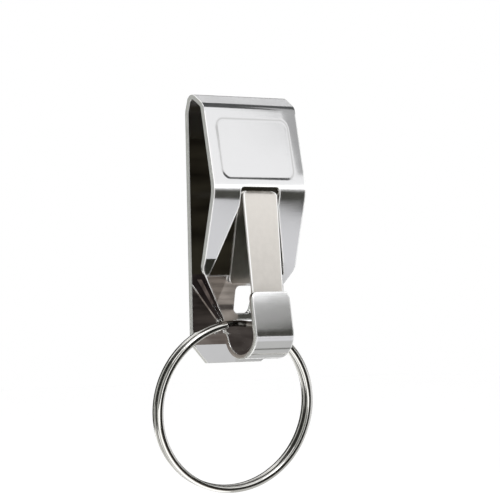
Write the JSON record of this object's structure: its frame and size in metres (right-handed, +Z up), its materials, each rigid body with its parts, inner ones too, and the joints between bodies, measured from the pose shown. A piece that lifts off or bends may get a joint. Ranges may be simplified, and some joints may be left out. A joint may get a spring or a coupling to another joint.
{
  "type": "belt key clip",
  "caption": "Bent spring-steel clip that slides over a belt, with a sprung gate closing its hook and a split ring for keys.",
  "frame": {"origin": "middle of the back plate's rear face, which lies against the wearer", "axes": "+Z up, towards the fold over the belt; +Y back, out of the rear face; +X to the right as seen from the front"},
  "size_m": [0.0454, 0.0203, 0.1053],
  "materials": {
    "body_steel": "bright drawn stainless spring strip",
    "gate_steel": "satin stainless spring strip",
    "ring_nickel": "polished nickel-plated wire"
  },
  "bodies": {
    "back": {"back_plate": "body_steel"},
    "front": {"front_leaf": "body_steel", "gate_spring": "gate_steel"},
    "gate": {"gate": "gate_steel"},
    "ring": {"split_ring": "ring_nickel"}
  },
  "joints": [
    {"name": "clip_open", "type": "hinge", "parent": "back", "child": "front", "pos_m": [0, 0, 0.03238], "axis": [-1, 0, 0], "range_deg": [0, 7], "stiffness_Nm_per_rad": 3, "springref_deg": -1.72},
    {"name": "gate_press", "type": "hinge", "parent": "front", "child": "gate", "pos_m": [0, -0.0103, 0.01183], "axis": [1, 0, 0], "range_deg": [0, 11], "stiffness_Nm_per_rad": 0.05, "springref_deg": -5.73},
    {"name": "ring_swing", "type": "hinge", "parent": "front", "child": "ring", "pos_m": [0, -0.0069, -0.02302], "axis": [-0.9703, 0.2419, 0], "range_deg": [0, 70]}
  ]
}
